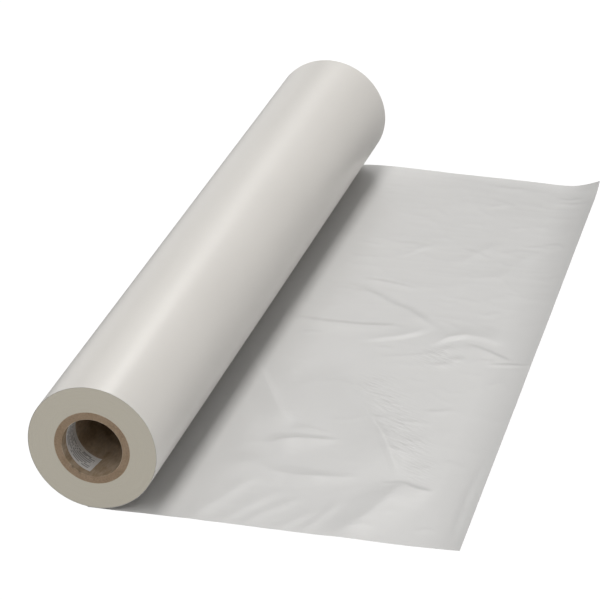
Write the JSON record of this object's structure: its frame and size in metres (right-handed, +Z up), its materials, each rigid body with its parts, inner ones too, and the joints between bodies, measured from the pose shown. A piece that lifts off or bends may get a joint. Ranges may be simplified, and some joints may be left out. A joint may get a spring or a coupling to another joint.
{
  "type": "roll of sign vinyl",
  "caption": "Wide roll of white self-adhesive sign film on a paper core, lying on its side with its free end unrolled flat and its cut edge curling up.",
  "frame": {"origin": "on the surface that the roll and its free web lie on, at the middle of the whole object's outline", "axes": "+X along the free web, away from the roll; +Y along the roll's axis, away from the end with the label; +Z up"},
  "size_m": [0.5296, 1.04, 0.1625],
  "materials": {
    "vinyl": "white vinyl film, satin",
    "liner": "pale coated release liner, faint gloss and fine creases",
    "wound_edges": "slit edges of the wound film and liner, matte",
    "core_board": "grey-brown kraft board, matte",
    "core_paper": "kraft paper ply, matte",
    "label": "white label paper, uncoated",
    "tape": "cream masking tape"
  },
  "bodies": {
    "free_web": {"free_web_face": "vinyl", "free_web_liner": "liner"},
    "outer_lap": {"outer_lap_face": "vinyl", "outer_lap_liner": "liner"},
    "roll": {"wound_web": "wound_edges", "core_body_plies": "core_board", "core_inner_ply": "core_paper", "core_outer_ply": "core_paper", "tape_tab_near": "tape", "tape_tab_middle": "tape", "tape_tab_far": "tape", "core_label": "label"}
  },
  "joints": [
    {"name": "roll_travel", "type": "slide", "parent": "free_web", "child": "outer_lap", "axis": [1, 0, 0], "range_m": [-0.25, 0.15]},
    {"name": "roll_spin", "type": "hinge", "parent": "outer_lap", "child": "roll", "pos_m": [-0.18385, 0, 0.08157], "axis": [0, 1, 0], "range_deg": [-180, 110]}
  ],
  "couplings": [
    {"joint": "roll_spin", "follows": "roll_travel", "rad_per_m": 12.346}
  ]
}
